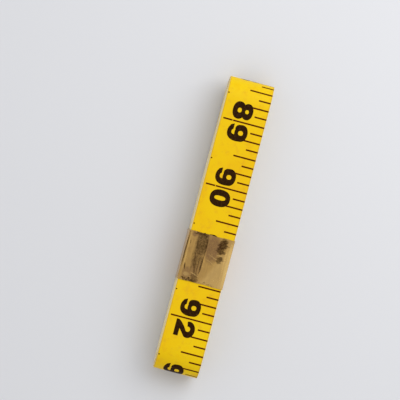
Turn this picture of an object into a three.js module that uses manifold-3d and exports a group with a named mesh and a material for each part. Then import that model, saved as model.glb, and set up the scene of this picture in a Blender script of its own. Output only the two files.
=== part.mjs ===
// A 96-inch cloth tape measure, wound flat and held by a foil band.
//
// Millimetres. The bundle lies on its back: +X runs along it, the way the inches grow on the upper
// face, +Y points at the graduated edge, and +Z is up. The origin is the middle of the footprint,
// on the surface that the bundle lies on.
import * as THREE from "three";
import { mergeVertices } from "three/addons/utils/BufferGeometryUtils.js";
import Module from "manifold-3d";

const wasm = await Module();
wasm.setup();

// The woven, coated tape, 96 inches long, and the clear space between one turn and the next.
const TAPE_LENGTH = 2438.4;
const TAPE_WIDTH = 17.1;
const TAPE_THICKNESS = 0.2;
const TURN_GAP = 0.43;

// The flat winding. Each fold is half an ellipse, longer than it is high by this share.
const BUNDLE_LENGTH = 113.4;
const FOLD_LENGTH_SHARE = 1.34;
const FOLD_STEPS = 12;
// The share of a step between levels by which the core opens where the tape would not fit it.
const CORE_OPENING_SHARE = 0.1;

// The foil band: a strip of film round the bundle, its ends lapped and stuck underneath. Its
// inner corners are this many clearances in radius, so that the tape's edges stay clear.
const BAND_WIDTH = 18.8;
const BAND_CENTRE_X = 12.5;
const BAND_FILM = 0.12;
const BAND_CLEARANCE = 0.1;
const BAND_CORNER_SHARE = 2.4;
const BAND_LAP = 8;
// The outer end of the tape reaches this far out of the band.
const TAIL_PAST_BAND = 19.9;

// The sheet-metal tips, folded over both ends of the tape and dented to grip it.
const TIP_LENGTH = 7;
const TIP_SHEET = 0.24;
const TIP_CLEARANCE = 0.1;
const TIP_CORNER_RADIUS = 1.4;
const DENT_RADIUS = 1.1;
const DENT_DEPTH_SHARE = 0.55;
const DENTS_PER_LEG = 3;
const DENT_FACETS = 96;

// Segments of a quarter arc or a half one in an outline.
const ARC_SEGMENTS = 6;
// How far cutting solids run past what they cut.
const OVERRUN = 1;

const levelStep = (TAPE_THICKNESS + TURN_GAP) / 2;
const tailEndX = BAND_CENTRE_X - BAND_WIDTH / 2 - TAIL_PAST_BAND;

const material = (color, roughness, metalness) =>
  new THREE.MeshStandardMaterial({ color, roughness, metalness, flatShading: true });
const tapeVinyl = material(0xf0c20f, 0.45, 0);
const goldFoil = material(0xb8945a, 0.2, 1);
const tipBrass = material(0xc9ab62, 0.35, 1);

// The height of a run over or under the middle plane. The innermost run, level 0, lies in it,
// and level 1 clears the tip that is folded over the innermost run.
const levelHeight = (level, coreHeight) => (level > 0 ? coreHeight + (level - 1) * levelStep : 0);

// Half the height of the fold that starts at a level and ends one level in.
const foldHalf = (level, coreHeight) =>
  (levelHeight(level, coreHeight) + levelHeight(level - 1, coreHeight)) / 2;

// How far from the middle of the bundle the folds start at the end where the outermost of them
// starts at this level. That one reaches half the bundle's length.
const foldStartX = (level, coreHeight) =>
  (BUNDLE_LENGTH - TAPE_THICKNESS) / 2 - FOLD_LENGTH_SHARE * foldHalf(level, coreHeight);

// The tape's middle line up to its last fold, as points (x, z), z from the middle plane. It starts
// at the outer end, underneath; every fold takes it to the other side and one level in. All the
// folds at one end are ellipses round one middle. `end` is where the innermost run heads for.
function foldedLine(topLevel, coreHeight) {
  const line = [new THREE.Vector2(tailEndX, -levelHeight(topLevel, coreHeight))];
  let end = 1;
  let side = -1;
  for (let level = topLevel; level > 0; level--) {
    const startX = foldStartX(end > 0 ? topLevel : topLevel - 1, coreHeight);
    const half = foldHalf(level, coreHeight);
    const middle = side * (levelHeight(level, coreHeight) - half);
    for (let step = 0; step <= FOLD_STEPS; step++) {
      const angle = (Math.PI * step) / FOLD_STEPS;
      const x = end * (startX + FOLD_LENGTH_SHARE * half * Math.sin(angle));
      line.push(new THREE.Vector2(x, middle + side * half * Math.cos(angle)));
    }
    end = -end;
    side = -side;
  }
  return { line, end };
}

function lineLength(line) {
  let length = 0;
  for (let i = 1; i < line.length; i++) {
    length += line[i].distanceTo(line[i - 1]);
  }
  return length;
}

// What is left of the tape for its innermost run, and the room that this run has.
const leftOver = (topLevel, coreHeight) =>
  TAPE_LENGTH - lineLength(foldedLine(topLevel, coreHeight).line);
const coreRoom = (topLevel, coreHeight) =>
  foldStartX(topLevel, coreHeight) + foldStartX(topLevel - 1, coreHeight);

// As many levels as leave an innermost run that is longer than its tip. The core opens by small
// steps as long as that run has no room in it.
function windTape() {
  let coreHeight = TAPE_THICKNESS + TIP_SHEET + 2 * TIP_CLEARANCE;
  let topLevel = 1;
  while (leftOver(topLevel + 1, coreHeight) > TIP_LENGTH) {
    topLevel += 1;
  }
  while (leftOver(topLevel, coreHeight) > coreRoom(topLevel, coreHeight)) {
    coreHeight += levelStep * CORE_OPENING_SHARE;
  }
  const { line, end } = foldedLine(topLevel, coreHeight);
  const zeroEndX = line.at(-1).x + end * leftOver(topLevel, coreHeight);
  line.push(new THREE.Vector2(zeroEndX, line.at(-1).y));
  return { topLevel, coreHeight, line };
}

// The least clear gap between the tape and itself: each point, and the middle of each stretch,
// against every stretch that is over one fold away along the tape.
function leastGap(line) {
  const apart = FOLD_STEPS;
  let least = Infinity;
  const nearest = new THREE.Vector3();
  const stretch = new THREE.Line3();
  const deep = (p) => new THREE.Vector3(p.x, 0, p.y);
  for (let i = 1; i < line.length; i++) {
    const probes = [deep(line[i]), deep(line[i]).add(deep(line[i - 1])).multiplyScalar(1 / 2)];
    for (let j = i + apart; j < line.length; j++) {
      stretch.set(deep(line[j - 1]), deep(line[j]));
      for (const probe of probes) {
        stretch.closestPointToPoint(probe, true, nearest);
        least = Math.min(least, nearest.distanceTo(probe));
      }
    }
  }
  return least - TAPE_THICKNESS;
}

const winding = windTape();
const outerHeight = levelHeight(winding.topLevel, winding.coreHeight);
const upperHeight = levelHeight(winding.topLevel - 1, winding.coreHeight);
// The underside of the tape stands off by the lapped film or by a tip's leg, whichever is more.
const standOff = Math.max(BAND_CLEARANCE + 2 * BAND_FILM, TIP_CLEARANCE + TIP_SHEET);
const middleZ = standOff + TAPE_THICKNESS / 2 + outerHeight;

// The direction across the tape at a point of its line, long enough to keep the tape's thickness
// round a corner.
function acrossAt(line, i) {
  const before = line[Math.max(i - 1, 0)];
  const after = line[Math.min(i + 1, line.length - 1)];
  const arriving = line[i].clone().sub(before);
  const leaving = after.clone().sub(line[i]);
  const first = arriving.length() > 0 ? arriving.normalize() : leaving.clone().normalize();
  const second = leaving.length() > 0 ? leaving.normalize() : first.clone();
  const along = first.clone().add(second).normalize();
  const across = new THREE.Vector2(-along.y, along.x);
  return across.multiplyScalar(1 / along.dot(second));
}

// One closed ribbon along the winding: four corners at each point, joined ring to ring.
function tapeGeometry() {
  const { line } = winding;
  const positions = [];
  line.forEach((point, i) => {
    const reach = acrossAt(line, i).multiplyScalar(TAPE_THICKNESS / 2);
    for (const [face, edge] of [[1, -1], [1, 1], [-1, 1], [-1, -1]]) {
      const corner = point.clone().addScaledVector(reach, face);
      positions.push(corner.x, (edge * TAPE_WIDTH) / 2, middleZ + corner.y);
    }
  });
  const corners = 4;
  const last = (line.length - 1) * corners;
  const index = [0, 1, 2, 0, 2, 3, last, last + 2, last + 1, last, last + 3, last + 2];
  for (let ring = 0; ring < last; ring += corners) {
    for (let corner = 0; corner < corners; corner++) {
      const a = ring + corner;
      const b = ring + ((corner + 1) % corners);
      index.push(a, a + corners, b, b, a + corners, b + corners);
    }
  }
  const geometry = new THREE.BufferGeometry();
  geometry.setAttribute("position", new THREE.Float32BufferAttribute(positions, 3));
  geometry.setIndex(index);
  return geometry.toNonIndexed();
}

// A closed geometry as a solid for cutting, and a solid as a geometry again.
function solidOf(geometry) {
  const bare = geometry.clone();
  bare.deleteAttribute("normal");
  bare.deleteAttribute("uv");
  const merged = mergeVertices(bare);
  const vertProperties = merged.attributes.position.array;
  const triVerts = new Uint32Array(merged.index.array);
  return new wasm.Manifold(new wasm.Mesh({ numProp: 3, vertProperties, triVerts }));
}

function geometryOf(solid) {
  const mesh = solid.getMesh();
  const geometry = new THREE.BufferGeometry();
  const positions = new THREE.Float32BufferAttribute(mesh.vertProperties, mesh.numProp);
  geometry.setAttribute("position", positions);
  geometry.setIndex(new THREE.BufferAttribute(mesh.triVerts, 1));
  return geometry.toNonIndexed();
}

// A strip of sheet bent over the tape's end: two legs and a round bend, seen along Y. The tape's
// end is at x = 0 and its middle at z = 0; the legs lie along +X.
function tipChannel() {
  const slotHalf = TAPE_THICKNESS / 2 + TIP_CLEARANCE;
  const outerHalf = slotHalf + TIP_SHEET;
  const shape = new THREE.Shape();
  shape.moveTo(TIP_LENGTH, -outerHalf);
  shape.lineTo(TIP_LENGTH, -slotHalf);
  shape.lineTo(0, -slotHalf);
  shape.absarc(0, 0, slotHalf, -Math.PI / 2, Math.PI / 2, true);
  shape.lineTo(TIP_LENGTH, slotHalf);
  shape.lineTo(TIP_LENGTH, outerHalf);
  shape.lineTo(0, outerHalf);
  shape.absarc(0, 0, outerHalf, Math.PI / 2, -Math.PI / 2, false);
  const channel = new THREE.ExtrudeGeometry(shape, {
    depth: TAPE_WIDTH,
    bevelEnabled: false,
    curveSegments: ARC_SEGMENTS,
  });
  channel.rotateX(Math.PI / 2);
  channel.translate(0, TAPE_WIDTH / 2, 0);
  return channel;
}

// The tip's outline from above: square at the bend, round at the free corners of the legs.
function tipOutline() {
  const half = TAPE_WIDTH / 2;
  const r = Math.min(TIP_CORNER_RADIUS, half, TIP_LENGTH);
  const outline = new THREE.Shape();
  outline.moveTo(-OVERRUN, -half);
  outline.lineTo(TIP_LENGTH - r, -half);
  outline.absarc(TIP_LENGTH - r, -half + r, r, -Math.PI / 2, 0, false);
  outline.lineTo(TIP_LENGTH, half - r);
  outline.absarc(TIP_LENGTH - r, half - r, r, 0, Math.PI / 2, false);
  outline.lineTo(-OVERRUN, half);
  outline.closePath();
  const height = 2 * (TAPE_THICKNESS + TIP_CLEARANCE + TIP_SHEET + OVERRUN);
  const prism = new THREE.ExtrudeGeometry(outline, {
    depth: height,
    bevelEnabled: false,
    curveSegments: ARC_SEGMENTS,
  });
  prism.translate(0, 0, -height / 2);
  return prism;
}

// A tip: the channel trimmed to its outline, with a row of dents pressed into both legs.
function tipGeometry() {
  let tip = solidOf(tipChannel()).intersect(solidOf(tipOutline()));
  const face = TAPE_THICKNESS / 2 + TIP_CLEARANCE + TIP_SHEET;
  const depth = TIP_SHEET * DENT_DEPTH_SHARE;
  const ball = (DENT_RADIUS ** 2 + depth ** 2) / (2 * depth);
  const dent = new THREE.SphereGeometry(ball, DENT_FACETS, DENT_FACETS / 2);
  for (let i = 0; i < DENTS_PER_LEG; i++) {
    const y = ((i + 1 / 2) / DENTS_PER_LEG - 1 / 2) * TAPE_WIDTH;
    for (const leg of [-1, 1]) {
      const z = leg * (face + ball - depth);
      tip = tip.subtract(solidOf(dent.clone().translate(TIP_LENGTH / 2, y, z)));
    }
  }
  return geometryOf(tip);
}

// A rectangle with round corners, from its lower and upper corners, on a shape or a hole's path.
function roundedRectangle(path, left, bottom, right, top, r) {
  path.moveTo(left + r, bottom);
  path.lineTo(right - r, bottom);
  path.absarc(right - r, bottom + r, r, -Math.PI / 2, 0, false);
  path.lineTo(right, top - r);
  path.absarc(right - r, top - r, r, 0, Math.PI / 2, false);
  path.lineTo(left + r, top);
  path.absarc(left + r, top - r, r, Math.PI / 2, Math.PI, false);
  path.lineTo(left, bottom + r);
  path.absarc(left + r, bottom + r, r, Math.PI, (3 * Math.PI) / 2, false);
  return path;
}

// A section in the plane across the bundle, given as (y, z), carried along X round a centre.
function extrudeAlongX(shape, length, centreX) {
  const geometry = new THREE.ExtrudeGeometry(shape, {
    depth: length,
    bevelEnabled: false,
    curveSegments: ARC_SEGMENTS,
  });
  const turned = new THREE.Matrix4().makeBasis(
    new THREE.Vector3(0, 1, 0),
    new THREE.Vector3(0, 0, 1),
    new THREE.Vector3(1, 0, 0),
  );
  geometry.applyMatrix4(turned);
  geometry.translate(centreX - length / 2, 0, 0);
  return geometry;
}

// The band: a closed sleeve of film, two plies thick where its ends lap underneath.
function bandGeometry() {
  const innerHalf = TAPE_WIDTH / 2 + BAND_CLEARANCE;
  const outerHalf = innerHalf + BAND_FILM;
  const innerBottom = middleZ - outerHeight - TAPE_THICKNESS / 2 - BAND_CLEARANCE;
  const innerTop = middleZ + upperHeight + TAPE_THICKNESS / 2 + BAND_CLEARANCE;
  const outerBottom = innerBottom - BAND_FILM;
  const outerTop = innerTop + BAND_FILM;
  const innerRadius = BAND_CLEARANCE * BAND_CORNER_SHARE;
  const outerRadius = innerRadius + BAND_FILM;
  const sleeve = new THREE.Shape();
  roundedRectangle(sleeve, -outerHalf, outerBottom, outerHalf, outerTop, outerRadius);
  const bore = new THREE.Path();
  roundedRectangle(bore, -innerHalf, innerBottom, innerHalf, innerTop, innerRadius);
  sleeve.holes.push(bore);
  const ply = new THREE.Shape();
  ply.moveTo(-BAND_LAP / 2, outerBottom - BAND_FILM);
  ply.lineTo(BAND_LAP / 2, outerBottom - BAND_FILM);
  ply.lineTo(BAND_LAP / 2, outerBottom + BAND_FILM / 2);
  ply.lineTo(-BAND_LAP / 2, outerBottom + BAND_FILM / 2);
  ply.closePath();
  const sleeveSolid = solidOf(extrudeAlongX(sleeve, BAND_WIDTH, BAND_CENTRE_X));
  const plySolid = solidOf(extrudeAlongX(ply, BAND_WIDTH, BAND_CENTRE_X));
  return geometryOf(sleeveSolid.add(plySolid));
}

function named(name, geometry, finish) {
  geometry.computeVertexNormals();
  const mesh = new THREE.Mesh(geometry, finish);
  mesh.name = name;
  return mesh;
}

// Both tips share one geometry. It is placed at an end of the line, its legs towards the tape.
function placedTip(name, geometry, end, next) {
  const tip = named(name, geometry, tipBrass);
  const along = next.clone().sub(end);
  tip.position.set(end.x, 0, middleZ + end.y);
  tip.rotation.y = -Math.atan2(along.y, along.x);
  return tip;
}

const tapeLine = winding.line;
const tip = tipGeometry();
const tapeMeasure = new THREE.Group();
tapeMeasure.add(
  named("tape", tapeGeometry(), tapeVinyl),
  named("foil_band", bandGeometry(), goldFoil),
  placedTip("outer_end_tip", tip, tapeLine[0], tapeLine[1]),
  placedTip("zero_end_tip", tip, tapeLine.at(-1), tapeLine.at(-2)),
);

// How far the band can slide each way: up to the leg of the outer tip, and off the far end.
const travelToTip = TAIL_PAST_BAND - TIP_LENGTH;
const travelOff = BUNDLE_LENGTH / 2 - (BAND_CENTRE_X - BAND_WIDTH / 2);

console.log(`tape ${lineLength(tapeLine).toFixed(2)} mm long in ${winding.topLevel} half turns`);
console.log(`zero end at x = ${tapeLine.at(-1).x.toFixed(2)} mm, core ${winding.coreHeight} mm`);
console.log(`least gap between turns ${leastGap(tapeLine).toFixed(3)} mm`);
console.log(`band travel ${travelToTip.toFixed(2)} mm to the tip, ${travelOff.toFixed(2)} mm off`);

export default tapeMeasure;
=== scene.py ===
"""Dresses the packed frame of a cloth tape measure, wound flat and held by a foil band.

Metres, +Z up. The inches on the upper face grow along +X, and +Y points at the graduated edge.
Each operator makes one piece, both tips or the stage.
"""

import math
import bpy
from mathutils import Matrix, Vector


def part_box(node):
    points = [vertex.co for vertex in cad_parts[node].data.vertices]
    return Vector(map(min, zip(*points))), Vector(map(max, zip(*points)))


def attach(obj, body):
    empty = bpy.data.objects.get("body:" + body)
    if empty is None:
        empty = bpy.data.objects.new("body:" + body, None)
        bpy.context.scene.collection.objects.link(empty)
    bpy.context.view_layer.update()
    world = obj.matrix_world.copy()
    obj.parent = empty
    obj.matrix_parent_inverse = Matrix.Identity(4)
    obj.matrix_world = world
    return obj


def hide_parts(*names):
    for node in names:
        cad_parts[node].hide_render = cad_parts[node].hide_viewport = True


bl_info = {
    "name": "Wound Tape Measure",
    "version": (1, 0, 0),
    "blender": (4, 5, 0),
    "location": "3D View > Sidebar > Tape Measure",
    "description": "Makes the printed tape, its metal tips and its foil band round a packed frame",
    "category": "Object",
}

import bpy
import numpy as np
from bpy.props import FloatProperty, FloatVectorProperty, PointerProperty
from bpy.types import Operator, Panel, PropertyGroup
from mathutils import Matrix, Vector
from mathutils.geometry import delaunay_2d_cdt

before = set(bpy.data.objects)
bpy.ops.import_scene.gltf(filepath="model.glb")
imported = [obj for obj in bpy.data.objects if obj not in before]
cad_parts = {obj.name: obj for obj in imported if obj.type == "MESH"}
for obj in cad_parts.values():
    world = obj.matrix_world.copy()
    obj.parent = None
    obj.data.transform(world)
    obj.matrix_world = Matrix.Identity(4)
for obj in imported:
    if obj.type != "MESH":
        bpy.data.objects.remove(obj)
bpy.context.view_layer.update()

MM = 0.001
INCH = 25.4 * MM
FULL_TURN = 2 * math.pi
# Faces that meet at more than this angle keep a sharp edge.
SHARP_ANGLE = math.radians(35)

# How the packed tape is wound. Level 0 is the innermost run, and each fold goes one level in.
INCHES = 96
LEVELS = 22
CORE_HEIGHT = 0.64 * MM
PACKED_THICKNESS = 0.2 * MM
FOLD_LENGTH_SHARE = 1.34
# The middle of a tip's bend lies this far inside the end of its packed solid.
TIP_BEND = 0.44 * MM

TAPE_UV = "along_across"
CUT_EDGE = "cut_edge"


def number(name, text, default, **unit):
    """A property for a number."""
    return FloatProperty(name=name, description=text, default=default, **unit)


def length(name, text, millimetres):
    """A property for a length, given in millimetres and held in metres."""
    return number(name, text, millimetres * MM, unit="LENGTH", precision=5)


def colour(name, text, *steps):
    """A property for a colour, given in 8-bit sRGB steps and held as a linear triple."""
    shares = [step / 255 for step in steps]
    linear = [s / 12.92 if s <= 0.04045 else ((s + 0.055) / 1.055) ** 2.4 for s in shares]
    return FloatVectorProperty(
        name=name, description=text, default=linear, subtype="COLOR", min=0, max=1
    )


class TapeSettings(PropertyGroup):
    """The coated tape."""

    thickness: length("Thickness", "Thickness of the coated cloth", 0.36)
    edge_radius: length("Edge radius", "Rounding of the cut edges", 0.1)
    wave: length("Wave", "Height of the waves in the outer runs", 0.07)
    inner_wave: length("Inner wave", "Height of the waves in the inner runs", 0.05)
    drift: length("Drift", "How far the turns stray sideways", 0.1)
    weave_pitch: length("Weave pitch", "Distance between threads under the coating", 0.5)
    yellow: colour("Yellow", "The coating", 242, 198, 2)
    lemon: colour("Lemon", "The coating where it is thin and bright", 244, 208, 6)
    amber: colour("Amber", "The coating where it is thick", 236, 178, 6)
    # Worn spots, and also the painted shade beside the cut edges.
    rubbed: colour("Rubbed", "The coating where it is rubbed", 206, 164, 46)
    cream: colour("Cream", "The cloth that shows at the cut edges", 252, 243, 205)


class PrintSettings(PropertyGroup):
    """The ink on the tape's outer face."""

    film: length("Ink film", "How far the ink stands off the coating", 0.03)
    digit_height: length("Digit height", "Height of the inch numbers", 7.75)
    digit_width: length("Digit width", "Width of a full digit", 6.5)
    digit_foot: length("Digit foot", "Foot of the digits, from the middle of the tape", -4.86)
    gap_before: length("Gap before the line", "From the first digit to its inch line", 0.93)
    gap_after: length("Gap after the line", "From the inch line to the second digit", 0.9)
    line_width: length("Line width", "Width of the graduation lines", 0.57)
    ink: colour("Ink", "The numbers", 42, 21, 3)
    ink_thin: colour("Thin ink", "The numbers where the ink is thin", 66, 40, 6)
    line_ink: colour("Line ink", "The lines", 82, 20, 0)
    line_ink_thin: colour("Thin line ink", "The lines where the ink is thin", 92, 40, 0)


class BandSettings(PropertyGroup):
    """The foil band."""

    film: length("Film", "Thickness of the film", 0.07)
    clearance: length("Clearance", "From the tape to the film", 0.045)
    side_clearance: length("Side clearance", "From the tape's edges to the film", 0.17)
    corner: length("Corner radius", "Radius of the film round the bundle's edges", 0.3)
    lap: length("Lap", "How far the film's ends overlap underneath", 8)
    crease: length("Crease height", "Height of a crease of strength 1", 0.16)
    gold: colour("Gold", "The film", 190, 151, 85)
    # Painted highlights and painted reflection: the brighter strips on the film's top, and its paler
    # sides.
    pale_gold: colour("Pale gold", "The film where it is bright", 232, 194, 120)
    # Dull patches at random and the lapped ply below, and also painted dark reflections on the top.
    bronze: colour("Bronze", "The film where it is dull", 144, 109, 70)
    # Painted dark reflections, mottled, on the top.
    olive: colour("Olive", "The film where it is mottled", 88, 67, 32)
    # The line at the lap's edge, and also painted dark reflections and painted shade along creases and
    # edges on the top.
    umber: colour("Umber", "The film in its dark streaks and blots", 64, 40, 18)


class TipSettings(PropertyGroup):
    """The metal tips on both ends of the tape."""

    reach: length("Length", "Length of a leg over the tape", 7)
    sheet: length("Sheet", "Thickness of the metal", 0.24)
    slot: length("Slot", "Clear height between the legs", 0.4)
    corner: length("Corner radius", "Radius of the legs' free corners", 1.4)
    dent_radius: length("Dent radius", "Radius of a pressed dent", 1.1)
    dent_depth: length("Dent depth", "Depth of a pressed dent", 0.13)
    brass: colour("Brass", "The metal", 214, 182, 108)
    dull_brass: colour("Dull brass", "The metal where it is tarnished", 168, 134, 74)


class StageSettings(PropertyGroup):
    """The camera, the floor and the light."""

    distance: length("Distance", "From the camera to the tape's face", 1500)
    field: length("Field", "Width of the view at the tape's face", 149.9)
    turn: number("Turn", "How far the picture is turned", math.radians(104.92), unit="ROTATION")
    tilt: number("Tilt", "How far it looks under the plain edge", math.radians(3), unit="ROTATION")
    aim_x: length("Aim along", "Middle of the picture, along the tape", -8.54)
    aim_y: length("Aim across", "Middle of the picture, across the tape", -7.98)
    floor: colour("Floor", "The floor", 226, 227, 231)
    key: number("Key", "Power of the key lamp", 1.25, unit="POWER")
    fill: number("Fill", "Strength of the light from all round", 0.66)


# Surfaces

def smooth_step(x):
    """0 below 0, 1 above 1, and 3x² - 2x³ between them."""
    x = np.clip(x, 0, 1)
    return x * x * (3 - 2 * x)


def sine_wave(at, wavelength, phase=0.0):
    """sin(2 pi * at / wavelength + phase)."""
    return np.sin(FULL_TURN * at / wavelength + phase)


def distance_along(line):
    """How far along a line of flat points each one lies."""
    return np.concatenate([[0], np.cumsum(np.hypot(*np.diff(line, axis=0).T))])


def left_of(u, v, at):
    """Unit vectors to the left of a line (u, v) over its length `at`: (-dv, du) / size."""
    slope_u, slope_v = np.gradient(u, at), np.gradient(v, at)
    size = np.hypot(slope_u, slope_v)
    return -slope_v / size, slope_u / size


def round_corners(half, radius, count):
    """Each corner of a rectangle about 0, from its half sizes, as its side and its points.

    The points are a quarter circle, (cos, sin) * radius about the corner's own middle.
    """
    for turn, side in enumerate(np.array([(1, -1), (1, 1), (-1, 1), (-1, -1)])):
        angle = np.linspace(0, math.pi / 2, count) + (turn - 1) * math.pi / 2
        bend = np.stack([np.cos(angle), np.sin(angle)], axis=1) * radius
        yield side, bend + side * (half - radius)


def grid_quads(rows, columns, closed):
    """The faces of a grid of points, which look along (column direction) x (row direction)."""
    row, column = np.mgrid[: rows - 1, : columns if closed else columns - 1]
    here = row * columns + column
    beside = row * columns + (column + 1) % columns
    return np.stack([here, beside, beside + columns, here + columns], axis=-1).reshape(-1, 4)


def walls(rim, below):
    """Faces from each edge of a rim to the same edge of a copy, whose points lie `below` later."""
    start, end = rim[:, 0], rim[:, 1]
    return np.stack([start, start + below, end + below, end], axis=-1)


def shell(upper, lower):
    """Two grids of points as a closed sheet: upper face, lower face turned over, and rim."""
    rows, columns = upper.shape[:2]
    count = rows * columns
    face = grid_quads(rows, columns, False)
    corner = np.arange(count).reshape(rows, columns)
    loop = np.concatenate([corner[0, :-1], corner[:-1, -1], corner[-1, :0:-1], corner[:0:-1, 0]])
    rim = np.stack([loop, np.roll(loop, -1)], axis=-1)
    points = np.concatenate([upper.reshape(-1, 3), lower.reshape(-1, 3)])
    return points, [face, face[:, ::-1] + count, walls(rim, count)]


def add_object(name, data):
    """A new object that holds the data, linked to the scene."""
    made = bpy.data.objects.new(name, data)
    bpy.context.scene.collection.objects.link(made)
    return made


def make_piece(name, points, faces, material, body, node=None):
    """A mesh of its points and groups of faces, smooth, riding on a body in the node's place."""
    mesh = bpy.data.meshes.new(name)
    mesh.from_pydata(points.tolist(), [], [face for group in faces for face in group.tolist()])
    mesh.shade_smooth()
    mesh.set_sharp_from_angle(angle=SHARP_ANGLE)
    mesh.materials.append(material)
    mesh.validate()
    piece = add_object(name, mesh)
    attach(piece, body)
    if node:
        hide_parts(node)
    return piece


# Materials

class Signal:
    """An output socket. Arithmetic on it adds Math nodes to its node tree."""

    def __init__(self, nodes, made, socket):
        self.nodes = nodes
        self.made = made
        self.socket = socket

    def other(self, output):
        """Another output of the same node."""
        return Signal(self.nodes, self.made, self.made.outputs[output])

    def maths(self, operation, *values):
        """A Math node whose inputs are the values in order."""
        return self.nodes.node("ShaderNodeMath", {"operation": operation}, dict(enumerate(values)))

    def __add__(self, other):
        return self.maths("ADD", self, other)

    __radd__ = __add__

    def __sub__(self, other):
        return self.maths("SUBTRACT", self, other)

    def __rsub__(self, other):
        return self.maths("SUBTRACT", other, self)

    def __mul__(self, other):
        return self.maths("MULTIPLY", self, other)

    __rmul__ = __mul__

    def __abs__(self):
        return self.maths("ABSOLUTE", self)

    def sine(self):
        """The sine of the value in radians."""
        return self.maths("SINE", self)

    def larger(self, other):
        """The larger of two values."""
        return self.maths("MAXIMUM", self, other)

    def rise(self, low, high):
        """0 up to low, 1 from high on, 3x² - 2x³ between them. With high under low it falls."""
        settings = {"interpolation_type": "SMOOTHSTEP"}
        inputs = {"Value": self, "From Min": low, "From Max": high}
        return self.nodes.node("ShaderNodeMapRange", settings, inputs)

    def within(self, low, high, soft):
        """1 between low and high, and 0 past them, with a soft edge of that width on each side."""
        return self.rise(low - soft, low) * (1 - self.rise(high, high + soft))

    def shaken(self, *noises):
        """The value moved by (noise - 0.5) * reach, for each (noise, reach)."""
        moved = self
        for noise, reach in noises:
            moved = moved + (noise - 0.5) * reach
        return moved


class Nodes:
    """A material's or a world's node tree, emptied. node() is what adds to it."""

    def __init__(self, owner):
        self.owner = owner
        owner.use_nodes = True
        self.tree = owner.node_tree
        self.tree.nodes.clear()

    def node(self, kind, settings=(), inputs=(), output=0):
        """Adds a node, sets its settings, then its sockets, and gives one of its outputs."""
        made = self.tree.nodes.new(kind)
        for key, value in dict(settings).items():
            setattr(made, key, value)
        for key, value in dict(inputs).items():
            if isinstance(value, Signal):
                self.tree.links.new(value.socket, made.inputs[key])
            else:
                made.inputs[key].default_value = value
        return Signal(self, made, made.outputs[output] if made.outputs else None)

    def layers(self, base, *coats):
        """A base colour under coats of others, each with how much it covers, from 0 to 1."""
        below = (*base, 1.0)
        for coat, cover in coats:
            inputs = {0: cover, 6: below, 7: (*coat, 1.0)}
            below = self.node("ShaderNodeMix", {"data_type": "RGBA"}, inputs, output=2)
        return below

    def split(self, vector):
        """The three parts of a vector."""
        x = self.node("ShaderNodeSeparateXYZ", inputs={0: vector})
        return x, x.other(1), x.other(2)

    def place(self, scale=(1, 1, 1), shift=(0, 0, 0)):
        """Object coordinates, shifted and then scaled."""
        point = self.node("ShaderNodeTexCoord", output="Object")
        moved = self.node("ShaderNodeVectorMath", {"operation": "ADD"}, {0: point, 1: shift})
        return self.node("ShaderNodeVectorMath", {"operation": "MULTIPLY"}, {0: moved, 1: scale})

    def noise(self, vector, scale, detail=2.0, roughness=0.5):
        """Smooth noise from about 0 to 1."""
        inputs = {"Vector": vector, "Scale": scale, "Detail": detail, "Roughness": roughness}
        return self.node("ShaderNodeTexNoise", inputs=inputs)

    def bump(self, height, distance):
        """The normal of a surface with that height, in shares of the distance."""
        return self.node("ShaderNodeBump", inputs={"Height": height, "Distance": distance})

    def surface(self, **sockets):
        """A Principled shader with those sockets, joined to the output."""
        inputs = {key.replace("_", " "): value for key, value in sockets.items()}
        shader = self.node("ShaderNodeBsdfPrincipled", inputs=inputs)
        self.node("ShaderNodeOutputMaterial", inputs={"Surface": shader})
        return self.owner


def weave(along, across, pitch):
    """A plain weave: sin(along) * sin(across), one thread to each half wave."""
    return (along * (math.pi / pitch)).sine() * (across * (math.pi / pitch)).sine()


def tape_places(nodes):
    """How far along and across the tape a point lies, in metres, from the tape's own map."""
    width, total = tape_sizes()
    u, v, _ = nodes.split(nodes.node("ShaderNodeUVMap", {"uv_map": TAPE_UV}))
    return u * total, v * width


def tape_material(tape):
    """Yellow coating over a plain weave, in patches, with painted shade beside the cut edges' cream
    cloth.
    """
    nodes = Nodes(bpy.data.materials.new("coated_cloth"))
    along, across = tape_places(nodes)
    middle = tape_sizes()[0] / 2
    # Painted shade: the coating darkens beside the cut edges, where the shade between the turns falls.
    shade_beside_edge = 1 - (middle - abs(across - middle)).rise(0.15 * MM, 0.7 * MM)
    cut = nodes.node("ShaderNodeAttribute", {"attribute_name": CUT_EDGE}, output="Fac")
    threads = (along * (FULL_TURN / tape.weave_pitch)).sine() * 0.2 + 0.8
    point = nodes.place()
    patches = nodes.noise(point, 46.0, 2.0)
    clouds = nodes.noise(point, 340.0, 3.0, 0.6)
    fine = nodes.noise(point, 900.0, 3.0)
    height = weave(along, across, tape.weave_pitch) * 0.6 + fine * 0.5
    return nodes.surface(
        Base_Color=nodes.layers(
            tape.yellow,
            (tape.lemon, patches.rise(0.46, 0.68) * clouds.rise(0.3, 0.6)),
            (tape.amber, (1 - patches).rise(0.52, 0.74) * 0.45 + clouds.rise(0.45, 0.75) * 0.5),
            (tape.rubbed, (fine * 0.5 + clouds * 0.5).rise(0.5, 0.75) * 0.3),
            # Painted shade beside the cut edges.
            (tape.rubbed, shade_beside_edge * (fine * 0.4 + 0.5)),
            (tape.cream, cut.rise(0.35, 0.75) * threads),
        ),
        Roughness=fine * 0.16 + 0.36,
        Normal=nodes.bump(height, 0.012 * MM),
        Specular_IOR_Level=0.12,
    )


def ink_material(name, thick, thin, pitch):
    """Dark brown ink, thinner in spots, that follows the weave it is printed on."""
    nodes = Nodes(bpy.data.materials.new(name))
    spots = nodes.noise(nodes.place(), 1300.0, 3.0)
    height = weave(*tape_places(nodes), pitch) * 0.6 + spots * 0.5
    return nodes.surface(
        Base_Color=nodes.layers(thick, (thin, spots.rise(0.42, 0.78))),
        Roughness=spots * 0.2 + 0.3,
        Normal=nodes.bump(height, 0.01 * MM),
        Specular_IOR_Level=0.04,
    )


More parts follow.
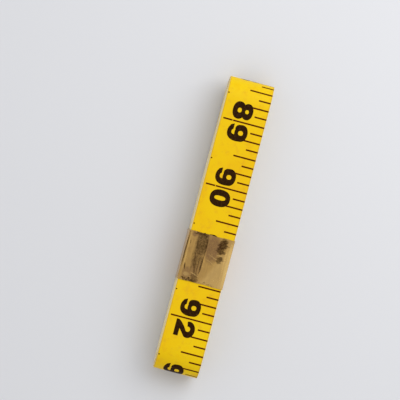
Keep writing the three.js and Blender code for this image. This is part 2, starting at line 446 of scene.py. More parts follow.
# The wound tape

# Its points: how far apart on a run, and how many to a fold and to a round corner.
RUN_SPACING = 3 * MM
FOLD_POINTS = 41
CORNER_POINTS = 4
# A loop of points lies this far in from a round corner, and the cloth shows on this share of it.
LOOP_INSET = 0.2 * MM
CUT_SHARE = 0.6
# The waves and the drift fade in over CALM_FADE, from CALM_END off the tape's ends.
CALM_END = 8 * MM
CALM_FADE = 16 * MM
# Over the level that starts here the waves turn inwards, to keep the tape clear of the band.
OUTER_FROM = LEVELS - 2.6
# Wavelengths along the tape, of its waves and of its drift.
RIPPLES = (31 * MM, 13.7 * MM)
STRAYS = (187 * MM, 67 * MM)


def level_height(level, step):
    """A run's height off the middle plane: 0, then CORE_HEIGHT, then a step more for each level."""
    return CORE_HEIGHT + (level - 1) * step if level > 0 else 0.0


def level_step():
    """How much further out each level lies, from the packed tape's height."""
    low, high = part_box("tape")
    return (high.z - low.z - PACKED_THICKNESS - 2 * CORE_HEIGHT) / (2 * LEVELS - 3)


def fold_half(level, step):
    """Half the height of the fold from a level to the next one in."""
    return (level_height(level, step) + level_height(level - 1, step)) / 2


def folded_line():
    """The packed tape's middle line from its outer end, as rows of x, z and level.

    A run is straight. A fold is half an ellipse, x = start + end * share * half * sin(angle) and
    z = middle + side * half * cos(angle), which ends on the other side and one level in.
    """
    low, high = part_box("tape")
    step = level_step()
    middle_z = low.z + PACKED_THICKNESS / 2 + level_height(LEVELS, step)
    reach = high.x - PACKED_THICKNESS / 2
    angle = np.linspace(0, math.pi, FOLD_POINTS)
    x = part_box("outer_end_tip")[0].x + TIP_BEND
    rows, end, side = [], 1, -1
    for level in range(LEVELS, 0, -1):
        outermost = LEVELS if end > 0 else LEVELS - 1
        start = end * (reach - FOLD_LENGTH_SHARE * fold_half(outermost, step))
        run = np.linspace(x, start, max(2, round(abs(start - x) / RUN_SPACING)), endpoint=False)
        height = middle_z + side * level_height(level, step)
        rows.append(np.stack(np.broadcast_arrays(run, height, level), axis=1))
        half = fold_half(level, step)
        fold_x = start + end * FOLD_LENGTH_SHARE * half * np.sin(angle)
        fold_z = height - side * half * (1 - np.cos(angle))
        rows.append(np.stack([fold_x, fold_z, level - angle / math.pi], axis=1)[:-1])
        x = start
        end = -end
        side = -side
    zero_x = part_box("zero_end_tip")[1].x - TIP_BEND
    run = np.linspace(x, zero_x, round(abs(zero_x - x) / RUN_SPACING))
    rows.append(np.stack(np.broadcast_arrays(run, middle_z, 0), axis=1))
    return np.concatenate(rows)


def wound_path(tape):
    """The wound tape: q from its zero end, and over it x, drift, z and the outward (x, z).

    The packed line gets a wave along its normal and a drift along Y, both sums of two sines of q
    that die away before the tips.
    """
    rows = folded_line()[::-1]
    x, z, level = rows.T
    q = distance_along(rows[:, :2])
    q *= INCHES * INCH / q[-1]
    # Towards higher inches the outward side is on the left.
    out_x, out_z = left_of(x, z, q)
    free = smooth_step((np.minimum(q, q[-1] - q) - CALM_END) / CALM_FADE)
    outer = smooth_step(level - OUTER_FROM)
    ripple = (sine_wave(q, RIPPLES[0]) + 0.5 * sine_wave(q, RIPPLES[1], 1.3)) / 1.5
    wave = free * ((1 - outer) * tape.inner_wave * ripple + outer * tape.wave * (ripple - 1))
    stray = sine_wave(q, STRAYS[0], 0.4) + 0.4 * sine_wave(q, STRAYS[1])
    drift = tape.drift * free * (1 - 0.6 * outer) * stray / 1.4
    return q, (x + wave * out_x, drift, z + wave * out_z, out_x, out_z)


def place_on(path, q, across, lift):
    """Points at a distance q along the tape: middle line + lift * outward, y = drift + across."""
    x, drift, z, out_x, out_z = (np.interp(q, path[0], row) for row in path[1])
    return np.stack([x + lift * out_x, drift + across, z + lift * out_z], axis=-1)


def tape_section(tape, width):
    """The tape's section, (across, lift): a rectangle with round corners, and loops beside them."""
    half = np.array([width / 2, tape.thickness / 2])
    ring = []
    for side, bend in round_corners(half, tape.edge_radius, CORNER_POINTS):
        loop = side * (half - [tape.edge_radius + LOOP_INSET, 0])
        ring.append(np.vstack([loop, bend] if side.prod() < 0 else [bend, loop]))
    return np.concatenate(ring)


def add_tape_map(piece, along, across):
    """A map of the tape laid flat: u is the share of its length, and v that of its width."""
    width, total = tape_sizes()
    mesh = piece.data
    corners = np.zeros(len(mesh.loops), int)
    mesh.loops.foreach_get("vertex_index", corners)
    flat = np.stack([along / total, across / width + 0.5], axis=-1)[corners]
    mesh.uv_layers.new(name=TAPE_UV).data.foreach_set("uv", flat.astype(np.float32).ravel())


def tape_sizes():
    """Width of the packed tape, and its whole length."""
    low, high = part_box("tape")
    return high.y - low.y, INCHES * INCH


class OBJECT_OT_tape_ribbon(Operator):
    """Winds the coated tape: one closed ribbon from the zero end to the outer end"""

    bl_idname = "object.tape_ribbon"
    bl_label = "Coated tape"

    def execute(self, context):
        tape = context.scene.tape_settings
        width, _ = tape_sizes()
        path = wound_path(tape)
        ring = tape_section(tape, width)
        along, across = np.meshgrid(path[0], ring[:, 0], indexing="ij")
        points = place_on(path, along, across, ring[:, 1]).reshape(-1, 3)
        ends = np.arange(len(points)).reshape(along.shape)[[0, -1]]
        faces = [grid_quads(*along.shape, True), ends[:1, ::-1], ends[1:]]
        material = tape_material(tape)
        ribbon = make_piece(
            "coated_ribbon", points, faces, material, "tape_bundle", "tape"
        )
        add_tape_map(ribbon, along.ravel(), across.ravel())
        cut = np.abs(across.ravel()) > width / 2 - tape.edge_radius * CUT_SHARE
        attribute = ribbon.data.attributes.new(CUT_EDGE, "FLOAT", "POINT")
        attribute.data.foreach_set("value", cut.astype(np.float32))
        return {"FINISHED"}


# The print

def blob(cx, cy, rx, ry, power=2.2):
    """A superellipse: |x/rx| ^ power + |y/ry| ^ power = 1 about its middle."""
    angle = np.linspace(0, FULL_TURN, 40, endpoint=False)
    c, s = np.cos(angle), np.sin(angle)
    x = cx + rx * np.sign(c) * np.abs(c) ** (2 / power)
    return np.stack([x, cy + ry * np.sign(s) * np.abs(s) ** (2 / power)], axis=1)


def block(left, bottom, right, top):
    """A rectangle from its corners."""
    return np.array([(left, bottom), (right, bottom), (right, top), (left, top)], float)


def arc(cx, cy, rx, ry, start, stop):
    """Points of an ellipse, (cos, sin) of angles from start to stop in degrees."""
    angle = np.radians(np.linspace(start, stop, 16))
    return np.stack([cx + rx * np.cos(angle), cy + ry * np.sin(angle)], axis=1)


INK, BARE = True, False


def two():
    """A 2 in one outline: over its bowl, down its slope, round its foot and back inside."""
    bowl = arc(0.488, 0.66, 0.482, 0.327, 200, -26)
    slope = [(0.79, 0.43), (0.65, 0.332), (0.51, 0.232)]
    foot = [(0.96, 0.232), (0.96, 0), (0, 0)]
    back = [(0, 0.12), (0.062, 0.203), (0.157, 0.289), (0.315, 0.412), (0.445, 0.487)]
    hollow = arc(0.462, 0.635, 0.152, 0.12, -45, 200)
    return np.concatenate([bowl, slope, foot, back, hollow])


def nine():
    """The strokes of a 9: a full blob, bitten off below its bowl, with a blunt tail."""
    bowl = [(0.01, 0.6), (0.03, 0.5), (0.07, 0.435), (0.15, 0.378), (0.28, 0.35), (0.49, 0.5)]
    tail = [(0.02, 0.272), (0.055, 0.195), (0.112, 0.112), (0.28, 0.035), (0.335, 0.275)]
    return [
        (INK, blob(0.5, 0.5, 0.5, 0.5, 2.3)),
        (BARE, block(-0.1, 0.275, 0.5, 0.68)),
        (BARE, blob(0.48, 0.34, 0.155, 0.135)),
        (INK, blob(0.49, 0.678, 0.49, 0.322)),
        (INK, bowl),
        (BARE, blob(0.49, 0.662, 0.138, 0.122)),
        (INK, tail),
    ]


# Each digit as strokes, painted in order, in shares of a digit's width and height.
DIGIT_SHARES = {
    0: [(INK, blob(0.5, 0.5, 0.5, 0.5, 2.3)), (BARE, blob(0.49, 0.495, 0.128, 0.275, 2.5))],
    1: [
        (INK, block(0.4, 0, 0.72, 1)),
        (INK, [(0.1, 0.66), (0.4, 0.66), (0.56, 0.8), (0.56, 1), (0.46, 1), (0.34, 0.84), (0.1, 0.8)]),
    ],
    2: [(INK, two())],
    3: [
        (INK, blob(0.48, 0.735, 0.44, 0.265)),
        (INK, blob(0.5, 0.3, 0.48, 0.3)),
        (BARE, blob(0.47, 0.72, 0.125, 0.09)),
        (BARE, blob(0.48, 0.3, 0.14, 0.1)),
        (BARE, block(-0.1, 0.36, 0.33, 0.64)),
        (INK, block(0.33, 0.44, 0.5, 0.6)),
    ],
    4: [
        (INK, [(0.6, 1), (0, 0.36), (0, 0.17), (0.55, 0.17), (0.55, 0), (0.86, 0), (0.86, 1)]),
        (BARE, [(0.28, 0.36), (0.55, 0.36), (0.55, 0.69)]),
        (INK, block(0.86, 0.17, 1, 0.36)),
    ],
    5: [
        (INK, blob(0.5, 0.33, 0.49, 0.33)),
        (BARE, blob(0.48, 0.32, 0.14, 0.125)),
        (BARE, block(-0.1, 0.3, 0.34, 0.7)),
        (INK, [(0.14, 1), (0.08, 0.43), (0.34, 0.43), (0.41, 0.52), (0.39, 0.8), (0.39, 1)]),
        (INK, block(0.14, 0.79, 0.9, 1)),
    ],
    6: [(ink, 1 - np.array(points)) for ink, points in nine()],
    7: [
        (INK, block(0.04, 0.79, 0.94, 1)),
        (INK, [
            (0.62, 0.79), (0.42, 0.5), (0.3, 0.25), (0.25, 0),
            (0.58, 0), (0.6, 0.2), (0.7, 0.45), (0.94, 0.79),
        ]),
    ],
    8: [
        (INK, blob(0.487, 0.727, 0.476, 0.273)),
        (INK, blob(0.488, 0.313, 0.512, 0.313)),
        (BARE, blob(0.495, 0.705, 0.118, 0.09)),
        (BARE, blob(0.483, 0.335, 0.138, 0.1)),
    ],
    9: nine(),
}

# Where the lines start across the tape, in millimetres: the inch line, then eighths 1 to 7.
LINE_STARTS = (-7.5, 3.8, 1.9, 3.8, -0.22, 3.8, 1.9, 3.8)
LINE_END = 8.4 * MM
# Three inch lines of four have a thin break. Each inch but the first and the last has a dot near
# the plain edge.
BREAK_AT = -3.8 * MM
BREAK_WIDTH = 0.26 * MM
DOT_AT = -7.9 * MM
DOT_RADIUS = 0.28 * MM
DOT_INCH_SHARE = 0.615
# The lines stop this far short of the tips.
TIP_CLEAR = 1 * MM
# The grid that lets a stamp bend has this spacing in the numbers, and this many widths in a line.
NUMBER_SPACING = 0.66 * MM
LINE_SPACING_WIDTHS = 2
# The numbers lie over the lines: their ink is so much higher.
NUMBER_RISE = 1.15


def inside(polygon, points):
    """Which points lie in a polygon: those with an odd number of its edges on their right."""
    x, y = points[:, :1], points[:, 1:]
    start_x, start_y = polygon.T
    end_x, end_y = np.roll(polygon, -1, axis=0).T
    climb = np.where(end_y == start_y, 1, end_y - start_y)
    edge_x = start_x + (y - start_y) * (end_x - start_x) / climb
    passed = ((start_y > y) != (end_y > y)) & (x < edge_x)
    return passed.sum(axis=1) % 2 == 1


def refined(polygon, spacing):
    """A polygon with more points along its edges, so that none lie more than `spacing` apart."""
    closed = np.vstack([polygon, polygon[:1]])
    reach = distance_along(closed)
    at = np.union1d(reach[:-1], np.arange(0, reach[-1], spacing))
    return np.stack([np.interp(at, reach, row) for row in closed.T], axis=1)


def stamp_of(strokes, spacing):
    """Strokes painted in order, as points, triangles that are inked and the ink's rim.

    A constrained Delaunay triangulation of all outlines and of a grid of points, `spacing` apart,
    which lets the stamp bend. The last stroke round a triangle's middle says if it is inked.
    """
    rings = [refined(points, spacing) for _, points in strokes]
    low = np.min([ring.min(0) for ring in rings], axis=0)
    high = np.max([ring.max(0) for ring in rings], axis=0)
    across, up = np.meshgrid(*(np.arange(a, b, spacing) for a, b in zip(low, high)), indexing="ij")
    inner = np.stack([across.ravel(), up.ravel()], axis=1)
    counts = np.cumsum([0] + [len(ring) for ring in rings])
    loops = [list(range(a, b)) for a, b in zip(counts, counts[1:])]
    every = np.concatenate(rings + [inner])
    found = delaunay_2d_cdt([Vector(p) for p in every.tolist()], [], loops, 0, spacing * 1e-3)
    points, triangles = np.array(found[0]), np.array(found[2])
    covered = np.zeros(len(triangles), bool)
    for ink, polygon in strokes:
        covered[inside(polygon, points[triangles].mean(axis=1))] = ink
    inked = triangles[covered]
    edges = np.concatenate([inked[:, [0, 1]], inked[:, [1, 2]], inked[:, [2, 0]]])
    key = edges.min(1) * len(points) + edges.max(1)
    _, first, count = np.unique(key, return_index=True, return_counts=True)
    used, where = np.unique(inked, return_inverse=True)
    rim = np.searchsorted(used, edges[first[count == 1]])
    return points[used], where.reshape(inked.shape), rim


def slabs(path, stamps, top, bottom):
    """Stamps laid on the tape as closed slabs, with each point's place along and across it.

    `stamps` holds (points, triangles, rim, places): each place (q, across) is where a copy goes.
    """
    points, faces, flat, start = [], [], [], 0
    for shape, triangles, rim, places in stamps:
        spots = (np.asarray(places)[:, None] + shape).reshape(-1, 2)
        count = len(spots)
        shift = start + len(shape) * np.arange(len(places))[:, None, None]
        points += [place_on(path, spots[:, 0], spots[:, 1], lift) for lift in (top, bottom)]
        flat += [spots, spots]
        face = (triangles + shift).reshape(-1, 3)
        faces += [face, face[:, ::-1] + count, walls((rim + shift).reshape(-1, 2), count)]
        start += 2 * count
    return np.concatenate(points), faces, np.concatenate(flat)


def numeral_places(printing):
    """For each digit, where its copies go: one before its inch line, or one on each side."""
    places = {digit: [] for digit in DIGIT_SHARES}
    for inch in range(1, INCHES):
        before = inch * INCH - printing.gap_before - printing.digit_width
        after = inch * INCH + printing.gap_after
        for digit, q in zip(str(inch), (before, after)):
            places[int(digit)].append((q, printing.digit_foot))
    return places


def line_places(half_width, tip_reach):
    """For each height of a line, where its copies go, apart from those under the tips."""
    places = {}
    for eighth in range(1, 8 * INCHES):
        q = eighth * INCH / 8
        start = LINE_STARTS[eighth % 8] * MM
        spans = [(start, LINE_END)]
        if eighth % 8 == 0 and eighth % 32:
            spans = [(start, BREAK_AT - BREAK_WIDTH / 2), (BREAK_AT + BREAK_WIDTH / 2, LINE_END)]
        for bottom, top in spans:
            if tip_reach < q < INCHES * INCH - tip_reach:
                places.setdefault(round(top - bottom, 7), []).append((q - half_width, bottom))
    return places


def print_piece(context, name, stamps, film, thick, thin):
    """Makes one printed piece of stamps, with ink of two colours and the tape's map."""
    tape = context.scene.tape_settings
    half = tape.thickness / 2
    points, faces, flat = slabs(wound_path(tape), stamps, half + film, half - film)
    material = ink_material(f"ink_of_{name}", thick, thin, tape.weave_pitch)
    piece = make_piece(name, points, faces, material, "tape_bundle")
    add_tape_map(piece, flat[:, 0], flat[:, 1])


class OBJECT_OT_tape_numerals(Operator):
    """Prints the inch numbers on the tape's outer face"""

    bl_idname = "object.tape_numerals"
    bl_label = "Inch numbers"

    def execute(self, context):
        printing = context.scene.print_settings
        size = np.array([printing.digit_width, printing.digit_height])
        places = numeral_places(printing)
        stamps = []
        for digit, strokes in DIGIT_SHARES.items():
            sized = [(ink, points * size) for ink, points in strokes]
            stamps.append((*stamp_of(sized, NUMBER_SPACING), places[digit]))
        inks = (printing.ink, printing.ink_thin)
        print_piece(context, "inch_numerals", stamps, printing.film * NUMBER_RISE, *inks)
        return {"FINISHED"}


class OBJECT_OT_tape_graduations(Operator):
    """Prints the lines and dots of the scale on the tape's outer face"""

    bl_idname = "object.tape_graduations"
    bl_label = "Graduation lines"

    def execute(self, context):
        printing = context.scene.print_settings
        wide = round(printing.line_width, 7)
        tip_reach = context.scene.tip_settings.reach + TIP_CLEAR
        stamps = []
        for high, places in line_places(printing.line_width / 2, tip_reach).items():
            line = [(INK, block(0, 0, wide, high))]
            stamps.append((*stamp_of(line, LINE_SPACING_WIDTHS * wide), places))
        dot = blob(0, 0, DOT_RADIUS, DOT_RADIUS, 2)[::4]
        spots = [((inch + DOT_INCH_SHARE) * INCH, DOT_AT) for inch in range(1, INCHES - 1)]
        stamps.append((*stamp_of([(INK, dot)], DOT_RADIUS), spots))
        inks = (printing.line_ink, printing.line_ink_thin)
        print_piece(context, "inch_graduations", stamps, printing.film, *inks)
        return {"FINISHED"}


# The foil band

# Points on a round corner, round the film with its lap, and along X.
BEND_POINTS = 9
AROUND_POINTS = 540
ALONG_POINTS = 90
# The film rises over LAP_RISE to LAP_GAP off its own start, whose creases fade in over CREASE_FADE.
LAP_RISE = 1.5 * MM
LAP_GAP = 0.01 * MM
CREASE_FADE = 6 * MM
# The cut edges stray by this share of half the film's length, in waves of these lengths.
TRIM_SHARE = 0.012
TRIM_WAVES = (23 * MM, 8 * MM)
# Where the film is creased, in millimetres: down from the top, and out from the middle on Y and X.
UPPER_DEPTH = 1.2
SIDE_FROM = 8.3
FLARE_FROM = 7.5
# Strength and length of the ripples at the cut edges, and of those all over.
FLARE, FLARE_WAVE = 0.35, 5.3 * MM
SLACK, SLACK_WAVE = 0.05, 9.1 * MM
# Where the marks fade in, in millimetres under the top and over the foot.
UPPER_FADE = (1.0, 0.4)
UNDER_FADE = (0.9, 0.4)


def band_line(width, height, corner):
    """A rectangle with round corners, from the middle of its foot and back to it, as (y, z)."""
    half = np.array([width / 2, height / 2])
    bends = [bend + [0, height / 2] for _, bend in round_corners(half, corner, BEND_POINTS)]
    return np.concatenate([[(0, 0)], *bends, [(0, 0)]])


# Marks on the band's upper face, as (x, y, reach along, reach across, turn, strength) from its
# middle, in millimetres and degrees. Creases are raised. All others are painted colours: dark
# reflections, shade along creases and edges, and highlights.
CREASES = (
    (-1, -1, 7.5, 0.32, 0, 0.6),
    (2.4, -2.9, 5.5, 0.4, 8, 0.7),
    (2.2, -4.2, 4.5, 0.3, 0, 0.6),
    (-5, -3.6, 5, 0.35, -4, 0.5),
    (-1, -7.8, 9.5, 0.4, 0, 0.6),
    (-0.5, 6.5, 9.8, 0.45, 0, 0.7),
    (-6.4, 3.9, 3.2, 0.4, 6, 0.5),
    (-2, 2.2, 3, 0.3, 80, 0.25),
    (-0.9, 2.6, 3.2, 0.28, 73, 0.3),
    (0.4, 2, 3, 0.3, 66, 0.2),
    (4.2, 3.2, 3.4, 0.35, 84, 0.15),
    (7, -3.6, 2.6, 0.35, 75, 0.5),
)
# On both sides, in the same form, with the height over the middle of the side in place of y.
SIDE_CREASES = (
    (-6.4, 1.5, 4.6, 0.3, 83, 0.5),
    (5.6, -1.2, 5, 0.26, 97, 0.45),
    (0.6, 5.2, 8.6, 0.4, 1, 0.6),
    (-2.5, -4.6, 6.4, 0.34, -3, 0.5),
    (2.8, 1.6, 5.6, 0.3, 4, 0.35),
    (-3.2, 3.2, 2.4, 0.22, 60, 0.3),
)
# Painted dark reflections.
DARK_REFLECTION_BLOTS = (
    (-7, 5, 2.9, 2, 0, 1),
    (-4.2, 4.6, 1.5, 1.8, 0, 0.9),
    (-1.1, 4.7, 1.5, 1.4, 0, 0.85),
    (7.6, -2.7, 2.2, 1.6, 12, 0.6),
)
# Painted dark reflections, and painted shade along the creases and the film's edges.
SHADE_AND_REFLECTION_STREAKS = (
    (-4.4, -1.15, 4.2, 0.3, 0, 0.9),
    (2.2, -1.4, 4, 0.36, -2, 0.85),
    (3.2, -2.5, 4.4, 0.3, 2, 0.7),
    (2.3, -3.8, 5.2, 0.5, 9, 0.6),
    (4.6, -4.7, 1.6, 0.4, 0, 0.4),
    (-9, -3.9, 0.7, 3.7, 0, 0.85),
    (-4.9, -7.35, 1.3, 0.26, 4, 0.7),
    (4.1, -7.25, 1.4, 0.3, 10, 0.9),
    (-2.6, -8.5, 7.6, 0.3, 0, 0.8),
    (8.9, 2.2, 0.2, 3.4, 0, 0.7),
    (8.9, -4.8, 0.7, 3.6, 0, 0.95),
)
# Painted dark reflections, mottled.
MOTTLED_REFLECTIONS = (
    (-5.4, -3.1, 5.8, 2.6, 0, 1),
    (-0.4, -3.5, 5.2, 2.2, 0, 0.7),
)
# Painted dark reflections, dull.
DULL_REFLECTIONS = (
    (-4.6, 1.4, 6.2, 3.4, 0, 1),
    (-5.4, -3, 5.6, 2.6, 0, 1),
    (3, -3.1, 6.4, 2.2, 0, 0.65),
    (-8.4, -6, 1.2, 1.8, 0, 0.9),
    (6.6, -6, 2.8, 2, 0, 0.8),
)
# Painted highlights.
PAINTED_HIGHLIGHTS = (
    (0.5, 8.3, 9.6, 0.36, 0, 0.8),
    (0.5, 7.8, 9.6, 0.4, 0, 0.6),
    (7, -6, 0.9, 1.4, 0, 0.3),
    (-2.7, 4.6, 1.6, 0.14, 92, 0.5),
    (-1.4, 2.4, 2.6, 0.12, 70, 0.45),
    (0.6, 1.8, 2.4, 0.12, 66, 0.4),
    (6.5, -2.8, 1.8, 0.2, 70, 0.45),
    (-1, -7.9, 8.6, 0.24, 0, 0.4),
)


def turned(x, y, mark):
    """A point in a mark's own axes, as shares of its reach along and across."""
    middle_x, middle_y, along, across, turn, _ = mark
    c, s = math.cos(math.radians(turn)), math.sin(math.radians(turn))
    from_x, from_y = x - middle_x, y - middle_y
    return (from_x * c + from_y * s) * (1 / along), (from_y * c - from_x * s) * (1 / across)


def crease_height(y, z, x, band, top):
    """Height of the film's creases over a flat sleeve, never under 0.

    A crease is strength * (1 - u²)² / (1 + 4v²) in its own shares (u, v). The cut edges lift off
    in slow ripples, and the whole film waves a little.
    """
    upper = smooth_step((z - top) / MM + UPPER_DEPTH)
    from_end = np.minimum(z, top - z) / MM
    side = smooth_step((np.abs(y) / MM - SIDE_FROM) / 0.4) * smooth_step(from_end / 2)
    height = np.zeros(np.broadcast(y, x).shape)
    for creases, up, mask in ((CREASES, y, upper), (SIDE_CREASES, z - top / 2, side)):
        for crease in creases:
            u, v = turned(x / MM, up / MM, crease)
            height += crease[-1] * np.clip(1 - u**2, 0, 1) ** 2 / (1 + 4 * v**2) * mask
    flare = smooth_step((np.abs(x) / MM - FLARE_FROM) / 2) * (1 - 0.8 * upper)
    height += FLARE * flare * (1 + sine_wave(y + z, FLARE_WAVE, np.sign(x)))
    # These lean along X, and come and go along it.
    height += SLACK * (1 + sine_wave(y + z, SLACK_WAVE, x * 700) * np.sin(x * 410 + 0.6))
    return band.crease * height


def marked(x, y, marks):
    """How strongly any of the marks covers a point: each is a soft-edged ellipse."""
    cover = 0.0
    for mark in marks:
        u, v = turned(x, y, mark)
        spot = (1 - (u * u + v * v).rise(0.3, 1.1)) * mark[-1]
        cover = spot.larger(cover)
    return cover


def foil_material(band, middle_x):
    """Gold metallised film, drawn out along X: painted reflections, shade and highlights above, lap's
    edge below.
    """
    nodes = Nodes(bpy.data.materials.new("gold_foil"))
    shift = (-middle_x, 0, 0)

    def noise(along, around, detail=3.0, roughness=0.6):
        """Noise with that many features to a metre, along X and round the film."""
        place = nodes.place((along, around, around), shift)
        return nodes.noise(place, 1.0, detail, roughness)

    x, y, z = nodes.split(nodes.place((1 / MM, 1 / MM, 1 / MM), shift))
    drawn = noise(90, 900, 4.0)
    soft = noise(420, 420, 3.0, 0.5)
    crumple = noise(700, 1100, 4.0)
    fingers = noise(1300, 160)
    grain = noise(2300, 2300)
    hairlines = noise(22, 2600)
    along = x.shaken((crumple, 2.0), (soft, 2.0))
    across = y.shaken((drawn, 1.4), (crumple, 1.2))
    fingered = y.shaken((fingers, 4.0), (crumple, 1.2))
    ragged_along = x.shaken((crumple, 3.0), (grain, 3.0))
    ragged = y.shaken((drawn, 0.9), (grain, 0.5))
    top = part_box("foil_band")[1].z / MM
    upper = z.rise(top - UPPER_FADE[0], top - UPPER_FADE[1])
    under = z.rise(*UNDER_FADE)
    lap = band.lap / MM / 2
    mottle = grain.rise(0.4, 0.58)
    dull = soft.rise(0.4, 0.72)
    # Painted reflection: the sides, under the top, are paler, where the film reflects the bright
    # surroundings. Painted highlight: the top is paler towards +Y, and in a strip near its +Y edge.
    plain = (1 - upper) * (0.85 - dull * 0.25 - hairlines.rise(0.4, 0.7) * 0.2)
    bright = (x * 0.5 + y).rise(3.2, 5.6) * 0.38 + y.rise(6.3, 8.2) * 0.2
    # The turns' edges press through the film on both sides.
    turns = (z * (FULL_TURN * MM / (2 * level_step()))).sine() * (1 - upper)
    height = crumple * 0.6 + drawn * upper * 0.4 + hairlines * 0.15
    height = height + turns * soft.rise(0.35, 0.65) * 0.3
    return nodes.surface(
        Base_Color=nodes.layers(
            band.gold,
            (band.bronze, dull * 0.3 + drawn.rise(0.4, 0.7) * upper * 0.2),
            # Painted dark reflections.
            (band.bronze, marked(along, across, DULL_REFLECTIONS) * (mottle * 0.3 + 0.7) * upper),
            # Painted dark reflections, mottled.
            (band.olive, marked(x, ragged, MOTTLED_REFLECTIONS) * (mottle * 0.5 + 0.4) * upper),
            # Painted highlights, and the painted reflection on the sides.
            (band.pale_gold, bright * upper + plain),
            (band.bronze, y.within(-lap, lap, 0.1) * under * 0.3),
            (band.umber, y.within(lap, lap + 0.12, 0.06) * under * 0.7),
            # Painted dark reflections, and painted shade along the creases and edges.
            (band.umber, marked(along, fingered, DARK_REFLECTION_BLOTS) * (mottle * 0.25 + 0.75) * upper),
            (band.umber, marked(ragged_along, ragged, SHADE_AND_REFLECTION_STREAKS) * (mottle * 0.3 + 0.7) * upper),
            # Painted highlights.
            (band.pale_gold, marked(x.shaken((grain, 0.8)), ragged, PAINTED_HIGHLIGHTS) * upper),
        ),
        Metallic=1.0,
        Roughness=crumple * 0.2 + 0.14,
        Normal=nodes.bump(height, 0.05 * MM),
    )


class OBJECT_OT_tape_band(Operator):
    """Wraps the foil band round the bundle: one closed strip of film, lapped underneath"""

    bl_idname = "object.tape_band"
    bl_label = "Foil band"

    def execute(self, context):
        band = context.scene.band_settings
        tape = context.scene.tape_settings
        low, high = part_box("foil_band")
        middle_x = (low.x + high.x) / 2
        grown = (tape.thickness - PACKED_THICKNESS) / 2 + band.clearance
        tape_low, tape_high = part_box("tape")
        foot = tape_low.z - grown
        top = tape_high.z + grown
        width = tape_sizes()[0] + 2 * band.side_clearance
        line = band_line(width, top - foot, band.corner)
        reach = distance_along(line)
        around = reach[-1]
        p = np.linspace(-band.lap / 2, around + band.lap / 2, AROUND_POINTS)[None, :]
        x = np.linspace(low.x, high.x, ALONG_POINTS)[:, None] - middle_x
        y, z = (np.interp(p % around, reach, row) for row in line.T)
        in_y, in_z = left_of(y[0], z[0], p[0])
        lapped = smooth_step((p - around + band.lap / 2 + LAP_RISE) / LAP_RISE)
        creased = (1 - lapped) * smooth_step(p / CREASE_FADE)
        lift = crease_height(y, z + foot, x, band, top) * creased + lapped * (band.film + LAP_GAP)
        trim = 1 + TRIM_SHARE * sine_wave(p, TRIM_WAVES[0]) * sine_wave(p, TRIM_WAVES[1])
        faces_at = []
        for offset in (lift + band.film, lift):
            place = (middle_x + x * trim, y - offset * in_y, z + foot - offset * in_z)
            faces_at.append(np.stack(np.broadcast_arrays(*place), axis=-1))
        points, faces = shell(*faces_at)
        material = foil_material(band, middle_x)
        make_piece("foil_sleeve", points, faces, material, "band", "foil_band")
        return {"FINISHED"}


# The metal tips

# Rows on a leg and on the bend of a tip's sheet, and points across it. A leg's rows lie closer
# towards its free end by this power, so that its corners are round.
LEG_ROWS = 36
BEND_ROWS = 13
TIP_COLUMNS = 97
CLOSER = 1.5
# Where the dents lie across a leg, in shares of its half width.
DENT_SHARES = (-2 / 3, 0, 2 / 3)
TIP_BEVEL = 0.05 * MM


def tip_surface(tips, half_width, offset, dented):
    """One face of a tip's bent sheet, `offset` off the middle of its slot, as a grid of points.

    Rows run from the free edge of the upper leg round the bend to that of the lower leg. A row's
    half width falls by radius - sqrt(radius² - d²) over the round corners, and a dent lowers the
    face by depth * (1 - (distance / radius)²)².
    """
    straight = np.linspace(1, 0, LEG_ROWS, endpoint=False)
    leg = tips.reach * (1 - (1 - straight) ** CLOSER)
    angle = np.linspace(math.pi / 2, 3 * math.pi / 2, BEND_ROWS)
    x = np.concatenate([leg, offset * np.cos(angle), leg[::-1]])
    z = np.concatenate([0 * leg + offset, offset * np.sin(angle), 0 * leg - offset])
    into = np.clip(x - (tips.reach - tips.corner), 0, tips.corner)
    narrowed = tips.corner - np.sqrt(np.maximum(tips.corner**2 - into**2, 0))
    y = np.linspace(-1, 1, TIP_COLUMNS) * (half_width - narrowed)[:, None]
    middles = np.array(DENT_SHARES) * half_width
    apart = np.hypot(y[..., None] - middles, (x - tips.reach / 2)[:, None, None])
    dents = (np.clip(1 - (apart / tips.dent_radius) ** 2, 0, None) ** 2).sum(-1)
    z = z[:, None] - np.sign(z)[:, None] * dents * tips.dent_depth * dented
    return np.stack([x[:, None] + 0 * y, y, z], axis=-1)


def brass_material(tips):
    """Brass sheet with fine scratches across the tape and dull patches."""
    nodes = Nodes(bpy.data.materials.new("tip_brass"))
    scratches = nodes.noise(nodes.place((9000, 300, 9000)), 1.0, 3.0, 0.6)
    clouds = nodes.noise(nodes.place(), 240.0, 2.0)
    dull = clouds.rise(0.3, 0.8) * 0.6 + scratches.rise(0.5, 0.7) * 0.3
    return nodes.surface(
        Base_Color=nodes.layers(tips.brass, (tips.dull_brass, dull)),
        Metallic=1.0,
        Roughness=scratches * 0.22 + clouds * 0.1 + 0.18,
        Normal=nodes.bump(scratches, 0.01 * MM),
    )


